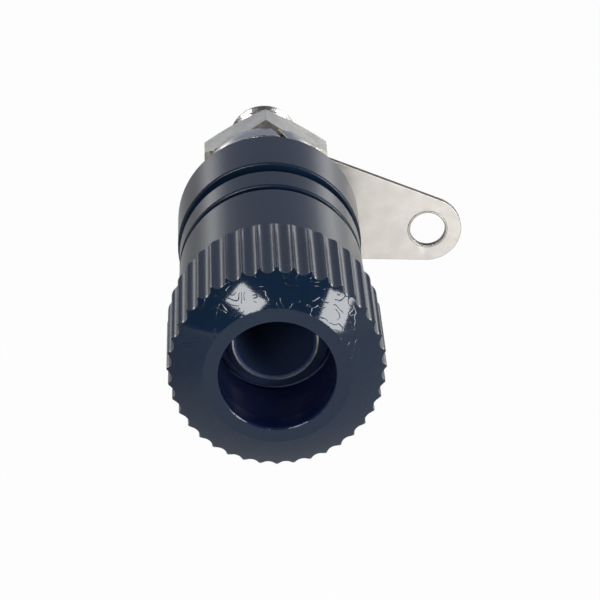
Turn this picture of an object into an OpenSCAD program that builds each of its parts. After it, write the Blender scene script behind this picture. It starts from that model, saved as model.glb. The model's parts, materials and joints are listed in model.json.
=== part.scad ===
// Panel binding post: 4 mm socket in a knurled screw cap, M4 stud, insulators, nuts and solder lug.
// The post's axis is Y: the cap faces -Y and the stud points to +Y. The origin is on that axis,
// on the collar's rear face, which is the face that seats on the front of a panel.

/* [Cap] */
// Length of the cap from its front face to the end of its skirt
cap_len = 12.1; // [11:0.1:14]
// Diameter of the cap over the tips of its teeth
cap_d = 11; // [10.4:0.1:12]
// Diameter of the hole in the cap's front
mouth_d = 5.85; // [5:0.05:6.2]
// Outer diameter of the flat ring round the mouth
land_d = 7.4; // [6.8:0.1:8]
// Distance from the tips of the teeth in to the edge of the crown
crown_inset = 0.12; // [0.1:0.02:0.5]
// Distance that the crown falls back from the flat ring
crown_drop = 0.85; // [0.3:0.05:1]
// Radius that rounds the edge of the mouth and the end of the skirt
cap_edge_r = 0.15; // [0.05:0.05:0.25]
// Number of teeth round the cap
tooth_count = 40; // [30:1:48]
// Depth of the grooves between the teeth
tooth_depth = 0.24; // [0.16:0.01:0.3]
// Width of the land on the tip of each tooth
tooth_land = 0.1; // [0.04:0.02:0.2]
// Distance from the front face to the rear end of the teeth
knurl_end = 6.8; // [5:0.1:8]
// Length over which each tooth slopes down to the skirt
tooth_runout = 0.8; // [0.4:0.1:1.4]
// Height of the tips of the teeth above the skirt behind them
tooth_height = 0.5; // [0.45:0.05:0.7]
// Amount by which the skirt is narrower at its end, for the mould's draft
skirt_draft = 0.2; // [0:0.05:0.4]

/* [Cap insert] */
// Outer diameter of the threaded insert in the cap
insert_d = 8; // [7.4:0.1:8.4]
// Length of the insert
insert_len = 7.2; // [6:0.1:7.6]
// Width of the groove that locks the insert in the plastic
insert_groove_w = 1.6; // [0.8:0.1:3]
// Depth of that groove
insert_groove_h = 0.3; // [0.1:0.05:0.4]

/* [Post] */
// Outer diameter of the cap thread on the socket tube
tube_d = 6; // [5.8:0.1:6.4]
// Pitch of that thread
tube_pitch = 0.75; // [0.5:0.05:1]
// Diameter of the plug socket's bore
socket_d = 4; // [3.8:0.05:4.2]
// Depth of the plug socket
socket_depth = 8.9; // [7:0.1:9.2]
// Distance from the cap's front face back to the tube's rim
rim_inset = 3.85; // [3:0.05:4.4]
// Width of the flat rim at the tube's front, outside the socket's lead-in
rim_w = 0.16; // [0.1:0.02:0.3]
// Lead-in chamfer of the socket
socket_lead = 0.12; // [0.05:0.01:0.2]
// Diameter of the wire hole across the tube
wire_hole_d = 1.8; // [1.2:0.1:2.2]
// Distance from the flange to the edge of the wire hole
wire_hole_gap = 0.2; // [0.1:0.05:0.5]
// Diameter of the flange that the wire is clamped against
flange_d = 8; // [7.6:0.1:8.6]
// Width of the flange across the two flats that stop it turning in the collar
flange_flats = 7; // [6.6:0.1:7.4]
// Thickness of that flange
flange_t = 1.25; // [1:0.05:1.6]
// Distance that the flange stands out of the collar
flange_proud = 0.5; // [0.3:0.05:0.7]
// Diameter of the threaded stud
stud_d = 4; // [3.6:0.1:4.2]
// Length of the stud behind the panel's front face
stud_len = 17.4; // [16:0.1:21]
// Chamfer at the end of the stud
stud_chamfer = 0.45; // [0.2:0.05:0.6]
// Pitch of the thread on the stud
stud_pitch = 0.7; // [0.5:0.05:0.9]

/* [Front collar] */
// Diameter of the collar
collar_d = 9.8; // [9.4:0.1:11]
// Thickness of the collar
collar_t = 1.9; // [1.7:0.05:3]
// Diameter of the spigot that passes through the panel
spigot_d = 7; // [6:0.1:7.6]
// Length of the spigot
spigot_len = 2.5; // [2:0.1:3]

/* [Rear insulator] */
// Diameter of the rear insulator
insulator_d = 10; // [9.4:0.1:11]
// Thickness of the rear insulator
insulator_t = 3.85; // [3:0.05:4.5]
// Gap left for the panel between the two insulators
panel_gap = 0.85; // [0.6:0.05:1.4]
// Radius that rounds the rims of both insulators
rim_r = 0.12; // [0.05:0.01:0.3]

/* [Nuts, lug and washer] */
// Width of both nuts across their flats
nut_af = 7; // [6.6:0.1:7.4]
// Thickness of each nut
nut_t = 2.6; // [2.2:0.1:3]
// Diameter of the flat face left by the chamfer of the nuts' corners
nut_face_d = 6.3; // [5.8:0.1:6.6]
// Turn of the inner nut about the post
clamp_nut_turn = 17; // [0:1:59]
// Turn of the outer nut about the post
terminal_nut_turn = 0; // [0:1:59]
// Diameter of the lug round the stud
lug_ring_d = 7.2; // [6.6:0.1:8]
// Distance from the stud to the lug's wire hole
lug_reach = 9.35; // [8:0.05:12]
// Diameter of the lug's outer end
lug_tip_d = 3.85; // [3:0.05:4.6]
// Diameter of the lug's wire hole
lug_hole_d = 2; // [1.2:0.1:2.4]
// Thickness of the lug's sheet
lug_t = 0.3; // [0.2:0.05:0.6]
// Angle of the lug below the horizontal
lug_turn = 12; // [0:1:90]
// Outer diameter of the split washer
washer_d = 7.6; // [6.8:0.1:8]
// Thickness of the split washer
washer_t = 1.2; // [0.8:0.1:1.4]
// Width of the washer's slit
slit_w = 0.35; // [0.2:0.05:0.8]
// Place of the slit, as an angle from the top towards the lug
slit_turn = 11; // [0:1:60]
// Slant of the slit across the washer
slit_slant = 25; // [0:1:35]

/* [Fits] */
// Radial clearance of each thread and of the insert in the cap
thread_gap = 0.05; // [0.02:0.01:0.1]
// Radial clearance of the rear insulator, the lug and the washer on the stud
stud_gap = 0.1; // [0.05:0.01:0.2]
// Radial clearance of the collar that is pressed on the post
press_gap = 0.02; // [0.01:0.01:0.05]
// Radial clearance of the spigot in the rear insulator
spigot_gap = 0.08; // [0.05:0.01:0.15]
// Clearance between faces that meet and then turn or slide
face_gap = 0.03; // [0.01:0.01:0.1]

/* [Hidden] */

// Colours of the real finishes
black_plastic = [0.16, 0.2, 0.25];
nickel = [0.78, 0.77, 0.75];
tinned = [0.84, 0.82, 0.8];

// Facets of a full turn, and steps in each rounded corner
$fn = 96;
corner_steps = 5;
// Depth of a metric thread, as a share of its pitch
thread_share = 0.6134;
// Overlap that makes each cut pass cleanly through its face
cut = 0.5;

// Places along the post, from the front of the cap to the end of the stud
flange_front = -collar_t - flange_proud;
flange_rear = flange_front + flange_t;
cap_rear = flange_front - face_gap;
cap_front = cap_rear - cap_len;
insert_front = cap_rear - insert_len;
rim_front = cap_front + rim_inset;
insulator_front = panel_gap;
insulator_rear = insulator_front + insulator_t;
clamp_nut_front = insulator_rear + face_gap;
lug_front = clamp_nut_front + nut_t + face_gap;
washer_front = lug_front + lug_t + face_gap;
terminal_nut_front = washer_front + washer_t + face_gap;

// Sizes that follow from the driving dimensions
nut_r = nut_af / 2 / cos(30);
stud_hole_r = stud_d / 2 + stud_gap;
nut_bore_r = stud_d / 2 + thread_gap;
tube_bore_r = tube_d / 2 + thread_gap;
rim_inner_r = socket_d / 2 + socket_lead;
rim_outer_r = rim_inner_r + rim_w;
nose_len = tube_d / 2 - rim_outer_r;
recess_depth = spigot_len - panel_gap + face_gap;

// Turns a shape drawn along Z to lie along the post, with Z pointing to the stud
module along_post() rotate([-90, 0, 0]) children();

// Points of an arc about [r, z], from one angle to another
function arc(r, z, radius, from, to) =
    [for (i = [0 : corner_steps]) let (a = from + (to - from) * i / corner_steps)
        [r + radius * cos(a), z + radius * sin(a)]];

// Points of the thread on a rod, between two places along the post, in rings a pitch apart:
// each groove is a quarter of the pitch wide at its root and seven eighths at the crests
function thread(r, pitch, from, to) =
    [for (i = [0 : floor((to - from) / pitch) - 1]) let (z = from + i * pitch)
        each [[r, z + pitch / 16], [r - thread_share * pitch, z + pitch * 3 / 8],
            [r - thread_share * pitch, z + pitch * 5 / 8], [r, z + pitch * 15 / 16]]];

// A ring with rounded outer rims, between two places along the post
module ring(outer_r, bore_r, front, rear, edge_r) {
    rotate_extrude() polygon(concat(
        [[bore_r, front]],
        arc(outer_r - edge_r, front + edge_r, edge_r, -90, 0),
        arc(outer_r - edge_r, rear - edge_r, edge_r, 0, 90),
        [[bore_r, rear]]));
}

// Knurl: round-bottomed grooves that leave a narrow land on the tip of each tooth.
// Their radius follows from the tips, the lands, the depth and the number of teeth.
module teeth() {
    tip_r = cap_d / 2;
    root_r = tip_r - tooth_depth;
    half_groove = 180 / tooth_count - asin(tooth_land / 2 / tip_r);
    groove_place = (tip_r * tip_r - root_r * root_r) / (2 * (tip_r * cos(half_groove) - root_r));
    difference() {
        translate([0, 0, cap_front]) cylinder(r = tip_r, h = cap_len);
        for (i = [0 : tooth_count - 1])
            rotate((i + 0.5) * 360 / tooth_count)
                translate([groove_place, 0, cap_front - cut])
                    cylinder(r = groove_place - root_r, h = knurl_end + cut, $fn = 32);
    }
}

// Turned outline of the cap: flat ring, sloped crown, bevel, run-out of the teeth and drafted skirt
module cap_outline() {
    tip_r = cap_d / 2;
    runout_front = cap_front + knurl_end - tooth_runout;
    skirt_end_r = tip_r - tooth_height - skirt_draft / 2;
    rotate_extrude() polygon(concat(
        [[0, cap_front], [land_d / 2, cap_front]],
        [[tip_r - crown_inset, cap_front + crown_drop]],
        [[tip_r, cap_front + crown_drop + crown_inset]],
        [for (i = [0 : corner_steps]) let (a = 90 * i / corner_steps)
            [tip_r - tooth_height * (1 - cos(a)), runout_front + tooth_runout * sin(a)]],
        arc(skirt_end_r - cap_edge_r, cap_rear - cap_edge_r, cap_edge_r, 0, 90),
        [[0, cap_rear]]));
}

// Hollow of the cap: rounded mouth, room for the tube's nose and the seat of the insert
module cap_hollow() {
    seat_r = insert_d / 2 + thread_gap;
    ridge_front = insert_front + (insert_len - insert_groove_w) / 2;
    mouth_r = mouth_d / 2;
    nose_room = rim_front + nose_len / 2;
    rotate_extrude() polygon(concat(
        [[0, cap_front - cut], [mouth_r + cap_edge_r, cap_front - cut]],
        arc(mouth_r + cap_edge_r, cap_front + cap_edge_r, cap_edge_r, 270, 180),
        [[mouth_r, nose_room], [tube_bore_r + stud_gap, nose_room]],
        [[tube_bore_r + stud_gap, insert_front - face_gap], [seat_r, insert_front - face_gap]],
        [[seat_r, ridge_front], [seat_r - insert_groove_h, ridge_front + insert_groove_h]],
        [[seat_r - insert_groove_h, ridge_front + insert_groove_w - insert_groove_h]],
        [[seat_r, ridge_front + insert_groove_w], [seat_r, cap_rear + cut], [0, cap_rear + cut]]));
}

// Knurled cap, moulded round its insert
module cap_shell() {
    color(black_plastic) along_post() difference() {
        intersection() {
            teeth();
            cap_outline();
        }
        cap_hollow();
    }
}

// Threaded insert that is locked in the cap by its groove
module cap_insert() {
    seat_r = insert_d / 2;
    groove_front = insert_front + (insert_len - insert_groove_w) / 2;
    groove_rear = groove_front + insert_groove_w;
    lead = 2 * thread_gap;
    color(nickel) along_post() rotate_extrude() polygon([
        [tube_bore_r, insert_front + lead], [tube_bore_r + lead, insert_front],
        [seat_r - lead, insert_front], [seat_r, insert_front + lead],
        [seat_r, groove_front], [seat_r - insert_groove_h, groove_front + insert_groove_h],
        [seat_r - insert_groove_h, groove_rear - insert_groove_h], [seat_r, groove_rear],
        [seat_r, cap_rear], [tube_bore_r + lead, cap_rear], [tube_bore_r, cap_rear - lead]]);
}

// Flange outline: a disc with two flats, made larger all round by a clearance
module flange(rear, gap) {
    intersection() {
        translate([0, 0, flange_front]) cylinder(d = flange_d + 2 * gap, h = rear - flange_front);
        translate([-flange_d, -flange_flats / 2 - gap, flange_front])
            cube([2 * flange_d, flange_flats + 2 * gap, rear - flange_front]);
    }
}

// Plug socket with its lead-in and the cone that the drill leaves
module socket_bore() {
    drill_cone = socket_d / 2 / tan(59);
    bottom = rim_front + socket_depth;
    rotate_extrude() polygon([
        [0, rim_front - cut], [rim_inner_r + cut, rim_front - cut],
        [socket_d / 2, rim_front + socket_lead], [socket_d / 2, bottom], [0, bottom + drill_cone]]);
}

// Post turned from one bar: socket tube with a tapered nose, flange and threaded stud
module post() {
    stud_r = stud_d / 2;
    tube_r = tube_d / 2;
    nose_rear = rim_front + nose_len;
    wire_hole_place = flange_front - wire_hole_gap - wire_hole_d / 2;
    tube_thread_end = wire_hole_place - wire_hole_d / 2 - wire_hole_gap;
    color(nickel) along_post() difference() {
        union() {
            rotate_extrude() polygon(concat(
                [[0, rim_front], [rim_outer_r, rim_front], [tube_r, nose_rear]],
                thread(tube_r, tube_pitch, nose_rear, tube_thread_end),
                [[tube_r, flange_front], [stud_r, flange_front]],
                thread(stud_r, stud_pitch, spigot_len, stud_len - stud_chamfer),
                [[stud_r, stud_len - stud_chamfer], [stud_r - stud_chamfer, stud_len]],
                [[0, stud_len]]));
            flange(flange_rear, 0);
        }
        socket_bore();
        translate([0, 0, wire_hole_place]) rotate([0, 90, 0])
            cylinder(d = wire_hole_d, h = 2 * tube_d, center = true);
    }
}

// Front insulator: a ring on the panel's face, with the spigot that passes through the panel
module front_collar() {
    spigot_r = spigot_d / 2;
    stud_seat_r = stud_d / 2 + press_gap;
    spigot_chamfer = (spigot_r - stud_seat_r) / 5;
    color(black_plastic) along_post() difference() {
        union() {
            ring(collar_d / 2, stud_seat_r, -collar_t, 0, rim_r);
            rotate_extrude() polygon([
                [stud_seat_r, -collar_t / 2], [spigot_r, -collar_t / 2],
                [spigot_r, spigot_len - spigot_chamfer], [spigot_r - spigot_chamfer, spigot_len],
                [stud_seat_r, spigot_len]]);
        }
        flange(flange_rear + press_gap, press_gap);
    }
}

// Rear insulator: a ring on the panel's back, with the recess that takes the spigot
module rear_insulator() {
    color(black_plastic) along_post() difference() {
        ring(insulator_d / 2, stud_hole_r, insulator_front, insulator_rear, rim_r);
        translate([0, 0, insulator_front - cut])
            cylinder(r = spigot_d / 2 + spigot_gap, h = recess_depth + cut);
    }
}

// Hex nut with chamfered corners and a countersunk bore; at no turn it has a corner on top
module hex_nut(front, turn) {
    face_r = nut_face_d / 2;
    chamfer = (nut_r - face_r) * tan(30);
    sink = 2 * stud_gap;
    along_post() translate([0, 0, front]) difference() {
        intersection() {
            rotate(30 + turn) cylinder(r = nut_r, h = nut_t, $fn = 6);
            rotate_extrude() polygon([[0, 0], [face_r, 0], [nut_r, chamfer],
                [nut_r, nut_t - chamfer], [face_r, nut_t], [0, nut_t]]);
        }
        rotate_extrude() polygon([
            [0, -cut], [nut_bore_r + sink + cut, -cut], [nut_bore_r, sink],
            [nut_bore_r, nut_t - sink], [nut_bore_r + sink + cut, nut_t + cut], [0, nut_t + cut]]);
    }
}

// Inner nut, which clamps the insulators on the panel
module clamp_nut() {
    color(nickel) hex_nut(clamp_nut_front, clamp_nut_turn);
}

// Solder lug: a ring round the stud and a smaller round end, joined by their common tangents.
// The straight edges lie a hair inside the tangents, so that they cross the round ends cleanly.
module solder_lug() {
    ring_r = lug_ring_d / 2;
    tip_r = lug_tip_d / 2;
    edge_inset = 0.003;
    tangent = acos((ring_r - tip_r) / lug_reach);
    ring_x = (ring_r - edge_inset) * cos(tangent);
    ring_y = (ring_r - edge_inset) * sin(tangent);
    tip_x = lug_reach + (tip_r - edge_inset) * cos(tangent);
    tip_y = (tip_r - edge_inset) * sin(tangent);
    color(tinned) along_post() rotate(lug_turn) translate([0, 0, lug_front]) difference() {
        union() {
            cylinder(r = ring_r, h = lug_t);
            translate([lug_reach, 0, 0]) cylinder(r = tip_r, h = lug_t);
            linear_extrude(lug_t)
                polygon([[ring_x, ring_y], [ring_x, -ring_y], [tip_x, -tip_y], [tip_x, tip_y]]);
        }
        translate([0, 0, -cut]) cylinder(r = stud_hole_r, h = lug_t + 2 * cut);
        translate([lug_reach, 0, -cut]) cylinder(d = lug_hole_d, h = lug_t + 2 * cut);
    }
}

// Split spring washer between the lug and the outer nut
module lock_washer() {
    color(nickel) along_post() difference() {
        ring(washer_d / 2, stud_hole_r, washer_front, washer_front + washer_t, washer_t / 10);
        rotate(slit_turn - 90) translate([washer_d / 2, 0, washer_front + washer_t / 2])
            rotate([slit_slant, 0, 0]) cube([washer_d, slit_w, 4 * washer_t], center = true);
    }
}

// Outer nut, which holds the lug
module terminal_nut() {
    color(nickel) hex_nut(terminal_nut_front, terminal_nut_turn);
}

cap_shell();
cap_insert();
post();
front_collar();
rear_insulator();
clamp_nut();
solder_lug();
lock_washer();
terminal_nut();
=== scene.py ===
import json
import math

import bmesh
import bpy
from mathutils import Matrix, Vector


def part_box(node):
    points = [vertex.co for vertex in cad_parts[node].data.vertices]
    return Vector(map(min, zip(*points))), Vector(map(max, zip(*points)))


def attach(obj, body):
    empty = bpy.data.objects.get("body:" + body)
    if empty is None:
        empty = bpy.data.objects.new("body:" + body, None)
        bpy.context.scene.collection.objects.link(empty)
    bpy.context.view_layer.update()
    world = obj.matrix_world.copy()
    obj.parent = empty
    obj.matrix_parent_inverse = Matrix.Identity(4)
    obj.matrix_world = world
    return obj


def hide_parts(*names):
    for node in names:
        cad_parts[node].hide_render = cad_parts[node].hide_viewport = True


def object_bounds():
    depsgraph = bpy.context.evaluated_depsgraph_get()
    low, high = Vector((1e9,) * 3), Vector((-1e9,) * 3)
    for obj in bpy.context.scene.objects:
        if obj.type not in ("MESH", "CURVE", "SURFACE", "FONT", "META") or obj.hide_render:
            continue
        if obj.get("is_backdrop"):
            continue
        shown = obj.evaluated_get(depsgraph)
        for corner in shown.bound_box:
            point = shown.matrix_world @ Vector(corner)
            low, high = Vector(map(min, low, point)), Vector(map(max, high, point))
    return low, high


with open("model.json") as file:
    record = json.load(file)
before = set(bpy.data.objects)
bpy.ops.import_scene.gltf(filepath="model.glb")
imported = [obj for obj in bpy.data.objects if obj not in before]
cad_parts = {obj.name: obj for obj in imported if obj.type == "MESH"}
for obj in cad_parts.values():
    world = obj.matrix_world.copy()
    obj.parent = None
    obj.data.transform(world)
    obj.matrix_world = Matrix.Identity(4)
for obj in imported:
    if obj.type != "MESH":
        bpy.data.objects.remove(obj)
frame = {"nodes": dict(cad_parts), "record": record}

bl_info = {
    "name": "Panel Binding Post",
    "version": (1, 0, 0),
    "blender": (4, 5, 0),
    "location": "3D View > Sidebar > Binding Post",
    "description": "Dresses a packed binding post: threads, softened edges, finishes, light and camera",
    "category": "Object",
}

MM = 0.001

# Axis of the post, which every turned piece shares
AXIS = Vector((0.0, 1.0, 0.0))
# Flats round a turned piece, and round each turn of a thread
TURN_STEPS = 96
THREAD_STEPS = 32
# Corners closer than this are one corner
MERGE = 0.0005 * MM
# Depth of a metric thread as a share of its pitch
THREAD_DEPTH = 0.6134
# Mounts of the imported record, by name
MOUNTS = {mount["name"]: mount for mount in frame["record"]["mounts"]}
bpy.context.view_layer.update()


def to_linear(text):
    """Linear colour of an sRGB hex value such as #8090a0, with full alpha."""
    parts = [int(text[i:i + 2], 16) / 255 for i in (1, 3, 5)]
    return [p / 12.92 if p <= 0.04045 else ((p + 0.055) / 1.055) ** 2.4 for p in parts] + [1.0]


def colour(name, description, text):
    """A colour property whose default is an sRGB hex value."""
    return bpy.props.FloatVectorProperty(
        name=name, description=description, default=to_linear(text), size=4, subtype="COLOR", min=0, max=1)


def size(name, description, default):
    """A length property in metres."""
    return bpy.props.FloatProperty(
        name=name, description=description, default=default, min=0, precision=5, unit="LENGTH")


# ---------------------------------------------------------------- settings

class BindingPostPlastic(bpy.types.PropertyGroup):
    body: colour("Plastic", "Colour of the moulded plastic", "#0b2138")
    sheen_tint: colour("Gloss tint", "Tint of the plastic's reflections", "#f6f7f9")
    edge_round: size("Edge rounding", "Radius left on the plastic's edges by its mould", 0.07 * MM)


class BindingPostMetal(bpy.types.PropertyGroup):
    nickel: colour("Nickel", "Colour of the nickel plating on the brass", "#c2bfb9")
    nuts: colour("Nut plating", "Colour of the brighter plating on the nuts", "#d6d1c3")
    tin: colour("Tin", "Colour of the tinned solder lug", "#f0ebe4")
    steel: colour("Steel", "Colour of the plated spring steel", "#c4c2bd")
    stud_pitch: size("Stud pitch", "Pitch of the thread on the stud", 0.7 * MM)
    tube_pitch: size("Tube pitch", "Pitch of the thread on the socket tube", 0.75 * MM)
    edge_round: size("Edge rounding", "Radius of the metal's broken edges", 0.06 * MM)


class BindingPostStage(bpy.types.PropertyGroup):
    floor: colour("Floor", "Colour of the floor and backdrop", "#f4f4f4")
    window_power: bpy.props.FloatProperty(
        name="Window light", description="Radiance of the two soft lamps in front", default=14.5, min=0)
    sky: bpy.props.FloatProperty(
        name="Surround", description="Strength of the even light from all round", default=0.27, min=0)
    card_front: colour("Front card", "Colour of the dark card in front in the gloss", "#5c5e62")
    card_rear: colour("Rear card", "Colour of the blue-grey card behind in the gloss", "#9ba3b8")


# ---------------------------------------------------------------- meshes

def pick(piece):
    """Selects only this piece and makes it active."""
    if bpy.context.object and bpy.context.object.mode != "OBJECT":
        bpy.ops.object.mode_set(mode="OBJECT")
    bpy.ops.object.select_all(action="DESELECT")
    piece.select_set(True)
    bpy.context.view_layer.objects.active = piece


def finish_piece(piece, body, material, smooth=30):
    """Applies the place of a finished piece, shades it, and hangs it on its body."""
    pick(piece)
    bpy.ops.object.transform_apply(location=True, rotation=True, scale=True)
    bpy.ops.object.shade_smooth_by_angle(angle=math.radians(smooth))
    apply_modifier(piece, "WEIGHTED_NORMAL", "flat_faces", weight=100, keep_sharp=True)
    coat(piece, material)
    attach(piece, body)


def coat(piece, material):
    """Gives a piece one material all over."""
    piece.data.materials.clear()
    piece.data.materials.append(material)


def copy_of_node(node, name):
    """A new piece from a CAD node's shape, its loose triangles merged into one skin."""
    source = frame["nodes"][node]
    piece = bpy.data.objects.new(name, source.data.copy())
    bpy.context.scene.collection.objects.link(piece)
    pick(piece)
    bpy.ops.object.mode_set(mode="EDIT")
    bpy.ops.mesh.select_all(action="SELECT")
    bpy.ops.mesh.remove_doubles(threshold=MERGE)
    bpy.ops.mesh.dissolve_limited(angle_limit=math.radians(0.5))
    bpy.ops.object.mode_set(mode="OBJECT")
    return piece


def apply_modifier(piece, kind, name, **settings):
    """Adds a modifier with its settings and applies it."""
    pick(piece)
    modifier = piece.modifiers.new(name, kind)
    for key, value in settings.items():
        setattr(modifier, key, value)
    bpy.ops.object.modifier_apply(modifier=name)


def soften(piece, width):
    """Rounds a piece's edges, apart from the shallow ones between the flats of its round faces."""
    apply_modifier(
        piece, "BEVEL", "broken_edges", width=width, segments=3, limit_method="ANGLE",
        angle_limit=math.radians(32), use_clamp_overlap=True, harden_normals=False,
        miter_outer="MITER_ARC")


def cut_with(piece, tool, operation="DIFFERENCE"):
    """Cuts a piece with a closed tool and throws the tool away."""
    apply_modifier(piece, "BOOLEAN", "cut", operation=operation, object=tool, solver="EXACT")
    bpy.data.objects.remove(tool)


def turn_profile(name, points):
    """A closed solid turned round the post's axis from a closed outline of radius and place along Y."""
    mesh = bpy.data.meshes.new(name)
    piece = bpy.data.objects.new(name, mesh)
    bpy.context.scene.collection.objects.link(piece)
    shape = bmesh.new()
    corners = [shape.verts.new((r, y, 0)) for r, y in points]
    for i, corner in enumerate(corners):
        if points[i][0] > 0 or points[(i + 1) % len(points)][0] > 0:
            shape.edges.new((corner, corners[(i + 1) % len(points)]))
    shape.to_mesh(mesh)
    shape.free()
    pick(piece)
    bpy.ops.object.mode_set(mode="EDIT")
    bpy.ops.mesh.select_all(action="SELECT")
    bpy.ops.mesh.spin(steps=TURN_STEPS, angle=math.tau, center=(0, 0, 0), axis=AXIS)
    bpy.ops.mesh.select_all(action="SELECT")
    bpy.ops.mesh.remove_doubles(threshold=MERGE)
    bpy.ops.mesh.normals_make_consistent(inside=False)
    bpy.ops.object.mode_set(mode="OBJECT")
    return piece


def thread_tool(name, outer, root, pitch, front, rear):
    """A coiled wedge that cuts a thread groove round the post, from front to rear along Y."""
    # The wedge stands a little above the crests, where it is as wide as its slopes make it
    lift = 0.04 * MM
    root_half = pitch / 8
    top_half = root_half + pitch * 5 / 16 * (outer + lift - root) / (outer - root)
    mesh = bpy.data.meshes.new(name)
    tool = bpy.data.objects.new(name, mesh)
    bpy.context.scene.collection.objects.link(tool)
    shape = bmesh.new()
    corners = [shape.verts.new((r, y, 0)) for r, y in (
        (root, front - root_half), (outer + lift, front - top_half),
        (outer + lift, front + top_half), (root, front + root_half))]
    shape.faces.new(corners)
    shape.to_mesh(mesh)
    shape.free()
    turns = (rear - front) / pitch
    steps = int(THREAD_STEPS * turns)
    apply_modifier(
        tool, "SCREW", "coil", axis="Y", angle=math.tau * turns, screw_offset=rear - front,
        steps=steps, render_steps=steps, use_merge_vertices=False, use_normal_calculate=True)
    pick(tool)
    bpy.ops.object.mode_set(mode="EDIT")
    bpy.ops.mesh.select_all(action="SELECT")
    bpy.ops.mesh.remove_doubles(threshold=0.0002 * MM)
    # Both ends of the coil are open, and each gets a face
    bpy.ops.mesh.select_all(action="DESELECT")
    bpy.ops.mesh.select_non_manifold(
        extend=False, use_wire=False, use_multi_face=False, use_non_contiguous=False)
    bpy.ops.mesh.edge_face_add()
    bpy.ops.mesh.select_all(action="SELECT")
    bpy.ops.mesh.normals_make_consistent(inside=False)
    bpy.ops.object.mode_set(mode="OBJECT")
    return tool


# ---------------------------------------------------------------- materials

def new_material(name):
    """An empty node material, and its tree."""
    material = bpy.data.materials.new(name)
    material.use_nodes = True
    material.node_tree.nodes.clear()
    return material, material.node_tree


def add_node(tree, kind, settings=None, inputs=None):
    """Adds a node, sets its properties and its inputs, and links an input that is given as a socket."""
    node = tree.nodes.new(kind)
    for key, value in (settings or {}).items():
        setattr(node, key, value)
    for key, value in (inputs or {}).items():
        if isinstance(value, bpy.types.NodeSocket):
            tree.links.new(value, node.inputs[key])
        else:
            node.inputs[key].default_value = value
    return node


def flow_marks(tree, place):
    """1 on the thin lines that the melt leaves in a polished skin, and 0 between them."""
    # The lines follow the contours of a 1.3 mm noise, drawn coarser than real ones so that they show
    wander = add_node(tree, "ShaderNodeTexNoise", None, {
        "Vector": place, "Scale": 1 / (1.3 * MM), "Detail": 1.5, "Roughness": 0.5})
    contour = add_node(tree, "ShaderNodeMath", {"operation": "PINGPONG"}, {
        0: wander.outputs["Fac"], 1: 0.045})
    lines = add_node(tree, "ShaderNodeMapRange", None, {
        "Value": contour.outputs["Value"],
        "From Min": 0.0, "From Max": 0.009, "To Min": 1.0, "To Max": 0.0})
    # A 0.8 mm noise breaks them into short pieces
    broken = add_node(tree, "ShaderNodeTexNoise", None, {
        "Vector": place, "Scale": 1 / (0.8 * MM), "Detail": 1.0, "Roughness": 0.5})
    gaps = add_node(tree, "ShaderNodeMapRange", None, {
        "Value": broken.outputs["Fac"], "From Min": 0.47, "From Max": 0.53, "To Min": 0.0, "To Max": 1.0})
    marks = add_node(tree, "ShaderNodeMath", {"operation": "MULTIPLY"}, {
        0: lines.outputs["Result"], 1: gaps.outputs["Result"]})
    return marks.outputs["Value"]


def domed(tree, place, skin, inner, outer):
    """Normals of a crown that stands a little proud of its cone, midway between two radii."""
    proud = 0.05 * MM
    flat = add_node(tree, "ShaderNodeVectorMath", {"operation": "MULTIPLY"}, {0: place, 1: (1.0, 0.0, 1.0)})
    reach = add_node(tree, "ShaderNodeVectorMath", {"operation": "LENGTH"}, {0: flat.outputs["Vector"]})
    across = add_node(tree, "ShaderNodeMapRange", None, {
        "Value": reach.outputs["Value"],
        "From Min": inner, "From Max": outer, "To Min": -1.0, "To Max": 1.0})
    fall = add_node(tree, "ShaderNodeMath", {"operation": "MULTIPLY"}, {
        0: across.outputs["Result"], 1: across.outputs["Result"]})
    drop = add_node(tree, "ShaderNodeMath", {"operation": "MULTIPLY"}, {
        0: fall.outputs["Value"], 1: -proud})
    dome = add_node(tree, "ShaderNodeBump", None, {
        "Strength": 1.0, "Distance": 1.0, "Height": drop.outputs["Value"], "Normal": skin})
    return dome.outputs["Normal"]


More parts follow.
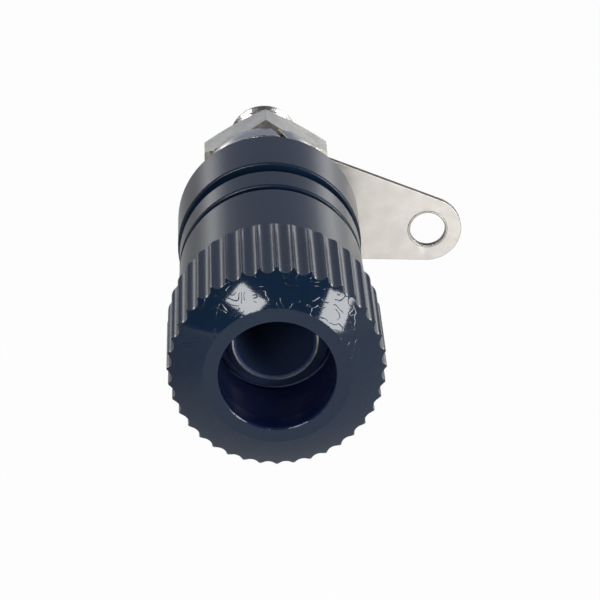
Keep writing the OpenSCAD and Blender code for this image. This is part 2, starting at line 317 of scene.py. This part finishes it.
def moulded_plastic(name, looks, bore=0.0, crown=-1.0, dome=None):
    """Black ABS, moulded.

    Where the mould is polished it gives a tight clear reflection, broken by flow marks
    and a faint orange peel. Where the mould is spark eroded it gives a satin sheen.
    bore is the radius of the mouth, inside which painted shade darkens the skin, crown the
    place along Y where the polish ends, and dome the two radii between which the crown is domed.
    """
    # Roughness of the polished skin, and what the eroded skin adds to it
    gloss, satin = 0.07, 0.21
    material, tree = new_material(name)
    place = add_node(tree, "ShaderNodeTexCoord").outputs["Object"]
    # Orange peel about 0.5 mm across
    peel = add_node(tree, "ShaderNodeTexNoise", None, {
        "Vector": place, "Scale": 1 / (0.5 * MM), "Detail": 2.0, "Roughness": 0.5})
    # Fine grain of the skin about 0.06 mm across
    grain = add_node(tree, "ShaderNodeTexNoise", None, {
        "Vector": place, "Scale": 1 / (0.06 * MM), "Detail": 3.0, "Roughness": 0.6})
    rough = add_node(tree, "ShaderNodeMapRange", None, {
        "Value": grain.outputs["Fac"], "From Min": 0.3, "From Max": 0.7,
        "To Min": gloss - 0.01, "To Max": gloss + 0.015})
    # The core plate that forms the crown is polished, and the sides of the mould are spark eroded
    split = add_node(tree, "ShaderNodeSeparateXYZ", None, {"Vector": place})
    side = add_node(tree, "ShaderNodeMapRange", {"interpolation_type": "SMOOTHSTEP"}, {
        "Value": split.outputs["Y"], "From Min": crown, "From Max": crown + 0.15 * MM,
        "To Min": 0.0, "To Max": satin})
    rough = add_node(tree, "ShaderNodeMath", {"operation": "ADD"}, {
        0: rough.outputs["Result"], 1: side.outputs["Result"]})
    # The flow marks show on the polished skin and all but vanish on the eroded one
    clear = add_node(tree, "ShaderNodeMapRange", None, {
        "Value": side.outputs["Result"],
        "From Min": 0.0, "From Max": satin, "To Min": 1.0, "To Max": 0.15})
    marks = add_node(tree, "ShaderNodeMath", {"operation": "MULTIPLY"}, {
        0: flow_marks(tree, place), 1: clear.outputs["Result"]})
    worn = add_node(tree, "ShaderNodeMath", {"operation": "MULTIPLY_ADD"}, {
        0: marks.outputs["Value"], 1: 0.2, 2: rough.outputs["Value"]})
    height = add_node(tree, "ShaderNodeMath", {"operation": "MULTIPLY_ADD"}, {
        0: marks.outputs["Value"], 1: -3.6, 2: peel.outputs["Fac"]})
    skin = add_node(tree, "ShaderNodeBevel", {"samples": 6}, {"Radius": looks.edge_round})
    skin = skin.outputs["Normal"]
    if dome:
        skin = domed(tree, place, skin, *dome)
    bump = add_node(tree, "ShaderNodeBump", None, {
        "Strength": 0.35, "Distance": 0.004 * MM, "Height": height.outputs["Value"], "Normal": skin})
    tint = add_node(tree, "ShaderNodeMixRGB", {"blend_type": "MULTIPLY"}, {
        "Fac": 0.35, "Color1": list(looks.body), "Color2": peel.outputs["Color"]})
    # Painted shade: inside the mouth the skin is made a darker blue, duller and less glossy, as the shade
    # in there
    inside = within(tree, place, bore)
    shaded_colour = add_node(tree, "ShaderNodeMixRGB", None, {
        "Fac": inside, "Color1": tint.outputs["Color"], "Color2": to_linear("#0b163a")})
    dull = add_node(tree, "ShaderNodeMath", {"operation": "MULTIPLY_ADD"}, {
        0: inside, 1: 0.3, 2: worn.outputs["Value"]})
    shine = add_node(tree, "ShaderNodeMath", {"operation": "MULTIPLY_ADD"}, {0: inside, 1: -0.25, 2: 0.45})
    shader = add_node(tree, "ShaderNodeBsdfPrincipled", None, {
        "Base Color": shaded_colour.outputs["Color"], "Roughness": dull.outputs["Value"], "IOR": 1.5,
        "Specular IOR Level": shine.outputs["Value"], "Specular Tint": list(looks.sheen_tint),
        "Normal": bump.outputs["Normal"]})
    add_node(tree, "ShaderNodeOutputMaterial", None, {"Surface": shader.outputs["BSDF"]})
    return material


def within(tree, place, radius, back=0.0):
    """1 inside a radius from the post's axis and in front of a place along it, and 0 elsewhere."""
    flat = add_node(tree, "ShaderNodeVectorMath", {"operation": "MULTIPLY"}, {0: place, 1: (1.0, 0.0, 1.0)})
    reach = add_node(tree, "ShaderNodeVectorMath", {"operation": "LENGTH"}, {0: flat.outputs["Vector"]})
    near = add_node(tree, "ShaderNodeMath", {"operation": "LESS_THAN"}, {
        0: reach.outputs["Value"], 1: radius})
    split = add_node(tree, "ShaderNodeSeparateXYZ", None, {"Vector": place})
    front = add_node(tree, "ShaderNodeMath", {"operation": "LESS_THAN"}, {0: split.outputs["Y"], 1: back})
    return add_node(tree, "ShaderNodeMath", {"operation": "MULTIPLY"}, {
        0: near.outputs["Value"], 1: front.outputs["Value"]}).outputs["Value"]


def plated_metal(name, tint, edge_round, rough=0.2, lathe=0.012, patch=0.06,
                 bore=0.0, back=0.0, nose=None, dark_edge_faces=False):
    """Plated metal, turned, milled or stamped and then barrel plated.

    The plating is bright but not a mirror: fine tool lines run round the axis, with
    small cloudy patches where handling has dulled it. lathe is the depth of the lines
    in mm and patch how much the clouds change the roughness. bore and back bound the
    inside that is painted dark as shade, nose is the lip's radius and the rear end of a
    cone in front that is painted dark as shade, and the last flag gives the sheet's edge
    faces a darker colour.
    """
    material, tree = new_material(name)
    place = add_node(tree, "ShaderNodeTexCoord").outputs["Object"]
    # Tool lines 0.05 mm apart along the axis
    lines = add_node(tree, "ShaderNodeMapping", None, {
        "Vector": place, "Scale": (1 / (2.0 * MM), 1 / (0.05 * MM), 1 / (2.0 * MM))})
    turned = add_node(tree, "ShaderNodeTexNoise", None, {
        "Vector": lines.outputs["Vector"], "Scale": 1.0, "Detail": 2.0, "Roughness": 0.5})
    # Clouding of the plating about 0.8 mm across
    clouds = add_node(tree, "ShaderNodeTexNoise", None, {
        "Vector": place, "Scale": 1 / (0.8 * MM), "Detail": 4.0, "Roughness": 0.6})
    dull = add_node(tree, "ShaderNodeMapRange", None, {
        "Value": clouds.outputs["Fac"], "From Min": 0.35, "From Max": 0.65,
        "To Min": rough - patch, "To Max": rough + patch})
    edges = add_node(tree, "ShaderNodeBevel", {"samples": 6}, {"Radius": edge_round})
    bump = add_node(tree, "ShaderNodeBump", None, {
        "Strength": 0.3, "Distance": lathe * MM, "Height": turned.outputs["Fac"],
        "Normal": edges.outputs["Normal"]})
    shade = add_node(tree, "ShaderNodeMapRange", None, {
        "Value": clouds.outputs["Fac"], "From Min": 0.3, "From Max": 0.7, "To Min": 0.9, "To Max": 1.0})
    toned = add_node(tree, "ShaderNodeMixRGB", {"blend_type": "MULTIPLY"}, {
        "Fac": 1.0, "Color1": list(tint), "Color2": shade.outputs["Result"]})
    # Painted shade: inside the bore the metal gets a dark blue-grey colour, less metalness and more
    # roughness, as the shade in there
    inside = within(tree, place, bore, back)
    if nose:
        # Painted shade: the cone in front of the thread is painted dark too, while the lip inside it stays
        # bright
        lip = within(tree, place, nose[0])
        split = add_node(tree, "ShaderNodeSeparateXYZ", None, {"Vector": place})
        cone = add_node(tree, "ShaderNodeMath", {"operation": "LESS_THAN"}, {
            0: split.outputs["Y"], 1: nose[1]})
        cone = add_node(tree, "ShaderNodeMath", {"operation": "SUBTRACT", "use_clamp": True}, {
            0: cone.outputs["Value"], 1: lip})
        inside = add_node(tree, "ShaderNodeMath", {"operation": "MAXIMUM"}, {
            0: inside, 1: cone.outputs["Value"]}).outputs["Value"]
    # Painted shade colour of the bore and of the cone in front
    final_tone = add_node(tree, "ShaderNodeMixRGB", None, {
        "Fac": inside, "Color1": toned.outputs["Color"], "Color2": to_linear("#2d3d5e")})
    if dark_edge_faces:
        # Faces that don't face along the axis, the edges of the sheet, get a darker colour than the flat
        # faces
        facing = add_node(tree, "ShaderNodeNewGeometry").outputs["Normal"]
        split = add_node(tree, "ShaderNodeSeparateXYZ", None, {"Vector": facing})
        flat = add_node(tree, "ShaderNodeMath", {"operation": "ABSOLUTE"}, {0: split.outputs["Y"]})
        cut = add_node(tree, "ShaderNodeMath", {"operation": "LESS_THAN"}, {
            0: flat.outputs["Value"], 1: 0.97})
        final_tone = add_node(tree, "ShaderNodeMixRGB", None, {
            "Fac": cut.outputs["Value"], "Color1": toned.outputs["Color"], "Color2": to_linear("#6f685f")})
    coarse = add_node(tree, "ShaderNodeMath", {"operation": "MULTIPLY_ADD"}, {
        0: inside, 1: 0.3, 2: dull.outputs["Result"]})
    bare = add_node(tree, "ShaderNodeMath", {"operation": "MULTIPLY_ADD"}, {0: inside, 1: -0.8, 2: 1.0})
    shader = add_node(tree, "ShaderNodeBsdfPrincipled", None, {
        "Base Color": final_tone.outputs["Color"], "Metallic": bare.outputs["Value"],
        "Roughness": coarse.outputs["Value"], "Normal": bump.outputs["Normal"]})
    add_node(tree, "ShaderNodeOutputMaterial", None, {"Surface": shader.outputs["BSDF"]})
    return material


# ---------------------------------------------------------------- pieces

class BINDINGPOST_OT_plastics(bpy.types.Operator):
    """Finish the cap, the front collar and the rear insulator as moulded plastic"""
    bl_idname = "binding_post.plastics"
    bl_label = "Moulded Plastics"

    def execute(self, context):
        looks = context.scene.binding_post_plastic
        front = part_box("cap_shell")[0].y
        # The mouth with its rounded end, the depth of the polished crown, and its inner and outer edge
        mouth, polished = 2.96 * MM, 1.0 * MM
        ring_edge, tooth_edge = 3.7 * MM, 5.38 * MM
        cap = moulded_plastic("abs_moulded_black", looks, bore=mouth, crown=front + polished,
                              dome=(ring_edge, tooth_edge))
        rings = moulded_plastic("abs_moulded_black_ring", looks)
        for node, material in (("cap_shell", cap), ("front_collar", rings), ("rear_insulator", rings)):
            coat(frame["nodes"][node], material)
        return {"FINISHED"}


class BINDINGPOST_OT_post(bpy.types.Operator):
    """Turn the post: socket tube, flange and stud, with their threads cut"""
    bl_idname = "binding_post.post"
    bl_label = "Threaded Post"

    def execute(self, context):
        looks = context.scene.binding_post_metal
        low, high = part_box("post")
        # Nickel-plated brass off the lathe: bright, with a bright lip, and painted shade darkening the bore
        # behind it and the cone in front
        plate = plated_metal("brass_turned_nickel_plated", looks.nickel, looks.edge_round, rough=0.22,
                             bore=2.12 * MM, nose=(2.25 * MM, low.y + 2.0 * MM))
        socket = MOUNTS["plug_socket"]
        hole = MOUNTS["wire_hole"]
        bore_r = socket["dims"]["r_mm"] * MM
        hole_r = hole["dims"]["r_mm"] * MM
        hole_y = hole["pos_m"][1]
        stud_r, tube_r, flange_r = 2.0 * MM, 3.0 * MM, 4.0 * MM
        lead, rim, chamfer, soft = 0.1 * MM, 0.12 * MM, 0.45 * MM, 0.05 * MM
        flange_front = hole_y + hole_r + 0.2 * MM
        flange_rear = flange_front + 1.25 * MM
        across_flats = 7.0 * MM
        bore_end = low.y + socket["dims"]["length_mm"] * MM + lead
        # The drill's point leaves a cone of 118 degrees at the socket's end
        point = bore_r / math.tan(math.radians(59))
        nose = tube_r - bore_r - lead - rim
        post = turn_profile("threaded_post", [
            (0, bore_end + point), (bore_r, bore_end), (bore_r, low.y + lead),
            (bore_r + lead, low.y), (bore_r + lead + rim, low.y), (tube_r, low.y + nose),
            (tube_r, flange_front), (flange_r - soft, flange_front), (flange_r, flange_front + soft),
            (flange_r, flange_rear - soft), (flange_r - soft, flange_rear), (stud_r, flange_rear),
            (stud_r, high.y - chamfer), (stud_r - chamfer, high.y), (0, high.y)])
        # The flats that key the flange in the collar, and the hole for a wire
        bpy.ops.object.select_all(action="DESELECT")
        bpy.ops.mesh.primitive_cube_add(size=1, location=(0, 0, 0))
        flats = context.object
        flats.scale = (30 * MM, 80 * MM, across_flats)
        cut_with(post, flats, "INTERSECT")
        bpy.ops.object.select_all(action="DESELECT")
        bpy.ops.mesh.primitive_cylinder_add(
            vertices=48, radius=hole_r, depth=9 * MM, location=(0, hole_y, 0), rotation=(0, math.pi / 2, 0))
        cut_with(post, context.object)
        cut_with(post, thread_tool(
            "stud_groove", stud_r, stud_r - THREAD_DEPTH * looks.stud_pitch, looks.stud_pitch,
            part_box("front_collar")[1].y + looks.stud_pitch, high.y + looks.stud_pitch))
        cut_with(post, thread_tool(
            "tube_groove", tube_r, tube_r - THREAD_DEPTH * looks.tube_pitch, looks.tube_pitch,
            low.y, hole_y - hole_r - looks.tube_pitch))
        finish_piece(post, "post_body", plate)
        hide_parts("post")
        return {"FINISHED"}


class BINDINGPOST_OT_nuts(bpy.types.Operator):
    """Make the two nuts and finish the cap's insert"""
    bl_idname = "binding_post.nuts"
    bl_label = "Nuts"

    def execute(self, context):
        looks = context.scene.binding_post_metal
        # Nickel over milled brass: flat bright faces that mirror the surround as plain tones
        nickel = plated_metal("brass_milled_nickel_plated", looks.nuts, looks.edge_round, rough=0.2)
        # Nickel over tapped brass: bright behind, and painted shade darkening its front, where the mouth
        # shows it
        coat(frame["nodes"]["cap_insert"], plated_metal(
            "brass_tapped_insert", looks.nickel, looks.edge_round,
            bore=3.7 * MM, back=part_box("cap_insert")[0].y + 1.0 * MM))
        for node, body in (("clamp_nut", "inner_nut"), ("terminal_nut", "outer_nut")):
            low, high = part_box(node)
            nut = copy_of_node(node, node + "_milled")
            # Countersinks at both faces, where the tap goes in
            for face, way in ((low.y, 1), (high.y, -1)):
                bpy.ops.object.select_all(action="DESELECT")
                bpy.ops.mesh.primitive_cone_add(
                    vertices=TURN_STEPS, radius1=2.5 * MM, radius2=1.9 * MM, depth=0.6 * MM,
                    location=(0, face + way * 0.15 * MM, 0), rotation=(-way * math.pi / 2, 0, 0))
                cut_with(nut, context.object)
            finish_piece(nut, body, nickel, smooth=20)
            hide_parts(node)
        return {"FINISHED"}


class BINDINGPOST_OT_lug(bpy.types.Operator):
    """Stamp the solder lug, with its rolled-over edges and the burr round its hole"""
    bl_idname = "binding_post.lug"
    bl_label = "Solder Lug"

    def execute(self, context):
        looks = context.scene.binding_post_metal
        # Tin over rolled brass sheet: pale and satin, nearly even, with darker edge faces
        tin = plated_metal("brass_sheet_tinned", looks.tin, looks.edge_round, rough=0.42, lathe=0.004,
                           patch=0.03, dark_edge_faces=True)
        lug = copy_of_node("solder_lug", "solder_lug_stamped")
        soften(lug, looks.edge_round * 0.5)
        finish_piece(lug, "lug", tin)
        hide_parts("solder_lug")
        # Burr that the punch leaves round the hole, half sunk in the front face
        hole = MOUNTS["lug_hole"]
        hole_r = hole["dims"]["r_mm"] * MM
        centre = (hole["pos_m"][0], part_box("solder_lug")[0].y, hole["pos_m"][2])
        bpy.ops.object.select_all(action="DESELECT")
        bpy.ops.mesh.primitive_torus_add(
            major_segments=64, minor_segments=10, major_radius=hole_r + 0.09 * MM,
            minor_radius=0.05 * MM, location=centre, rotation=(math.pi / 2, 0, 0))
        burr = context.object
        burr.name = "lug_hole_burr"
        bpy.ops.object.mode_set(mode="EDIT")
        bpy.ops.mesh.select_all(action="SELECT")
        bpy.ops.transform.resize(value=(1, 0.5, 1), center_override=centre)
        bpy.ops.object.mode_set(mode="OBJECT")
        finish_piece(burr, "lug", tin, smooth=60)
        return {"FINISHED"}


class BINDINGPOST_OT_washer(bpy.types.Operator):
    """Coil the split washer, with the broken edges of its square wire"""
    bl_idname = "binding_post.washer"
    bl_label = "Split Washer"

    def execute(self, context):
        looks = context.scene.binding_post_metal
        # Nickel over coiled spring steel: a little duller than the nuts, so that it stands apart
        steel = plated_metal("steel_spring_nickel_plated", looks.steel, looks.edge_round, rough=0.24)
        washer = copy_of_node("lock_washer", "lock_washer_coiled")
        soften(washer, looks.edge_round)
        finish_piece(washer, "rear_stack", steel)
        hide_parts("lock_washer")
        return {"FINISHED"}


# ---------------------------------------------------------------- stage

def soft_window(name, bearing, span, tilt, radiance, reach=0.45):
    """A soft rectangular lamp round the object, which the camera doesn't see.

    bearing is its azimuth from the front and its elevation, span its width and height
    as seen from the object, and tilt how far its long side drops to the right, in degrees.
    """
    target = Vector((0, -8 * MM, 0))
    place = target + reach * direction(*bearing)
    width, height = (2 * reach * math.tan(math.radians(s / 2)) for s in span)
    lamp = bpy.data.lights.new(name, "AREA")
    lamp.shape = "RECTANGLE"
    lamp.size = width
    lamp.size_y = height
    # A one-sided area lamp of power P shows a radiance of P over pi times its area
    lamp.energy = radiance * math.pi * width * height
    obj = bpy.data.objects.new(name, lamp)
    bpy.context.scene.collection.objects.link(obj)
    obj.location = place
    aim = (target - place).to_track_quat("-Z", "Y").to_matrix().to_4x4()
    obj.rotation_euler = (aim @ Matrix.Rotation(math.radians(tilt), 4, "Z")).to_euler()
    obj.visible_camera = False


def direction(azimuth, elevation):
    """Unit vector from the object towards a lamp: azimuth from the front to the right, in degrees."""
    a, e = math.radians(azimuth), math.radians(elevation)
    return Vector((math.sin(a) * math.cos(e), -math.cos(a) * math.cos(e), math.sin(e)))


class BINDINGPOST_OT_stage(bpy.types.Operator):
    """Set the floor, the surround, two soft windows of light and the camera"""
    bl_idname = "binding_post.stage"
    bl_label = "Stage"

    def execute(self, context):
        looks = context.scene.binding_post_stage
        scene = context.scene
        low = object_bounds()[0]
        # Floor of matt paper, 1.6 m across, under the lowest point
        bpy.ops.object.select_all(action="DESELECT")
        bpy.ops.mesh.primitive_plane_add(size=1.6, location=(0, 0, low[2]))
        floor = context.object
        floor.name = "floor"
        bpy.ops.object.transform_apply(location=True, rotation=True, scale=True)
        material, tree = new_material("paper_floor_matte")
        path = add_node(tree, "ShaderNodeLightPath")
        # The camera sees it lifted to white. The gloss shows it lifted less, darker on the left and
        # a little darker behind, which keeps the left of the crown deep
        ground = add_node(tree, "ShaderNodeTexCoord").outputs["Object"]
        split = add_node(tree, "ShaderNodeSeparateXYZ", None, {"Vector": ground})
        fade = add_node(tree, "ShaderNodeMapRange", {"interpolation_type": "SMOOTHSTEP"}, {
            "Value": split.outputs["X"],
            "From Min": -16 * MM, "From Max": -5 * MM, "To Min": 0.0, "To Max": 0.66})
        depth = add_node(tree, "ShaderNodeMapRange", {"interpolation_type": "SMOOTHSTEP"}, {
            "Value": split.outputs["Y"],
            "From Min": 8 * MM, "From Max": 30 * MM, "To Min": 1.0, "To Max": 0.8})
        fade = add_node(tree, "ShaderNodeMath", {"operation": "MULTIPLY"}, {
            0: fade.outputs["Result"], 1: depth.outputs["Result"]})
        lift = add_node(tree, "ShaderNodeMath", {"operation": "MULTIPLY"}, {
            0: path.outputs["Is Glossy Ray"], 1: fade.outputs["Value"]})
        seen = add_node(tree, "ShaderNodeMath", {"operation": "MAXIMUM"}, {
            0: path.outputs["Is Camera Ray"], 1: lift.outputs["Value"]})
        matte = add_node(tree, "ShaderNodeBsdfDiffuse", None, {"Color": list(looks.floor)})
        white = add_node(tree, "ShaderNodeEmission", None, {"Color": (1, 1, 1, 1), "Strength": 1.0})
        # A little of the matt floor stays, so that the object keeps its shadow
        share = add_node(tree, "ShaderNodeMath", {"operation": "MULTIPLY"}, {
            0: seen.outputs["Value"], 1: 0.97})
        both = add_node(tree, "ShaderNodeMixShader", None, {
            "Fac": share.outputs["Value"], 1: matte.outputs["BSDF"], 2: white.outputs["Emission"]})
        add_node(tree, "ShaderNodeOutputMaterial", None, {"Surface": both.outputs["Shader"]})
        floor.data.materials.append(material)
        floor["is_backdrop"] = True
        # Surround: an even pale sky that shows as white behind the object
        world = bpy.data.worlds.new("pale_surround")
        scene.world = world
        world.use_nodes = True
        tree = world.node_tree
        tree.nodes.clear()
        path = add_node(tree, "ShaderNodeLightPath")
        seen = add_node(tree, "ShaderNodeMath", {"operation": "MAXIMUM"}, {
            0: path.outputs["Is Camera Ray"], 1: path.outputs["Is Transmission Ray"]})
        seen = add_node(tree, "ShaderNodeMath", {"operation": "MAXIMUM"}, {
            0: seen.outputs["Value"], 1: path.outputs["Is Glossy Ray"]})
        even = add_node(tree, "ShaderNodeBackground", None, {"Color": (1, 1, 1, 1), "Strength": looks.sky})
        # Two cards above the object, one in front and one behind, which only its gloss shows
        bearing = add_node(tree, "ShaderNodeTexCoord").outputs["Generated"]
        level = (1, 1, 1, 1)
        # Each card's azimuth and elevation, the angle it fills, the angle at which it ends, and its colour
        cards = (((-12, 40), 48, 72, looks.card_front), ((180, 34), 19, 46, looks.card_rear))
        for aim, near, far, grey in cards:
            towards = add_node(tree, "ShaderNodeVectorMath", {"operation": "DOT_PRODUCT"}, {
                0: bearing, 1: direction(*aim)})
            card = add_node(tree, "ShaderNodeMapRange", {"interpolation_type": "SMOOTHSTEP"}, {
                "Value": towards.outputs["Value"], "From Min": math.cos(math.radians(far)),
                "From Max": math.cos(math.radians(near))})
            level = add_node(tree, "ShaderNodeMixRGB", None, {
                "Fac": card.outputs["Result"], "Color1": level, "Color2": list(grey)}).outputs["Color"]
        shade = add_node(tree, "ShaderNodeMixRGB", None, {
            "Fac": path.outputs["Is Glossy Ray"], "Color1": (1, 1, 1, 1), "Color2": level})
        white = add_node(tree, "ShaderNodeBackground", None, {
            "Color": shade.outputs["Color"], "Strength": 1.0})
        both = add_node(tree, "ShaderNodeMixShader", None, {
            "Fac": seen.outputs["Value"], 1: even.outputs["Background"], 2: white.outputs["Background"]})
        add_node(tree, "ShaderNodeOutputWorld", None, {"Surface": both.outputs["Shader"]})
        # Two windows in front that the crown mirrors, and two weak ones behind for the sides
        soft_window("window_left", (-17.5, 20.5), (20, 14), -32, looks.window_power)
        soft_window("window_right", (35, 9), (27, 16), 57, looks.window_power)
        soft_window("window_behind_left", (-152, 9), (10, 12), 0, looks.window_power / 7)
        soft_window("window_behind_right", (150, 9), (12, 14), 0, looks.window_power / 6)
        # Camera: above and in front, turned a little to the left of the post's axis
        camera = bpy.data.objects.new("camera", bpy.data.cameras.new("camera"))
        scene.collection.objects.link(camera)
        camera.data.sensor_width = 36.0
        camera.data.lens = 168.98
        camera.data.clip_start = 0.001
        camera.data.clip_end = 10.0
        azimuth, elevation, roll = (math.radians(a) for a in (-2.031, 25.566, 0.163))
        forward = Vector((-math.sin(azimuth) * math.cos(elevation),
                          math.cos(azimuth) * math.cos(elevation), -math.sin(elevation)))
        right = Vector((math.cos(azimuth), math.sin(azimuth), 0.0))
        up = right.cross(forward)
        sideways = right * math.cos(roll) + up * math.sin(roll)
        upright = up * math.cos(roll) - right * math.sin(roll)
        # How far the mouth's centre stands ahead of the camera, to its right and above its axis
        ahead, aside, above = 139.56 * MM, -1.1229 * MM, -3.7690 * MM
        mouth = Vector((0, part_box("cap_shell")[0].y, 0))
        place = mouth - forward * ahead - sideways * aside - upright * above
        turn = Matrix((sideways, upright, -forward)).transposed().to_4x4()
        camera.matrix_world = Matrix.Translation(place) @ turn
        scene.camera = camera
        scene.view_settings.view_transform = "Standard"
        return {"FINISHED"}


# ---------------------------------------------------------------- panel

class BINDINGPOST_PT_panel(bpy.types.Panel):
    """Steps and settings of the binding post"""
    bl_idname = "BINDINGPOST_PT_panel"
    bl_label = "Binding Post"
    bl_space_type = "VIEW_3D"
    bl_region_type = "UI"
    bl_category = "Binding Post"

    def draw(self, context):
        for group in (context.scene.binding_post_plastic, context.scene.binding_post_metal,
                      context.scene.binding_post_stage):
            for key in group.__annotations__:
                self.layout.prop(group, key)
        for step in STEPS:
            self.layout.operator(step.bl_idname)


STEPS = (BINDINGPOST_OT_plastics, BINDINGPOST_OT_post, BINDINGPOST_OT_nuts, BINDINGPOST_OT_lug,
         BINDINGPOST_OT_washer, BINDINGPOST_OT_stage)
CLASSES = (BindingPostPlastic, BindingPostMetal, BindingPostStage, *STEPS, BINDINGPOST_PT_panel)


def register():
    for cls in CLASSES:
        bpy.utils.register_class(cls)
    bpy.types.Scene.binding_post_plastic = bpy.props.PointerProperty(type=BindingPostPlastic)
    bpy.types.Scene.binding_post_metal = bpy.props.PointerProperty(type=BindingPostMetal)
    bpy.types.Scene.binding_post_stage = bpy.props.PointerProperty(type=BindingPostStage)


def unregister():
    del bpy.types.Scene.binding_post_plastic
    del bpy.types.Scene.binding_post_metal
    del bpy.types.Scene.binding_post_stage
    for cls in reversed(CLASSES):
        bpy.utils.unregister_class(cls)


def main():
    register()
    for step in STEPS:
        group, name = step.bl_idname.split(".")
        getattr(getattr(bpy.ops, group), name)()


if __name__ == "__main__":
    main()
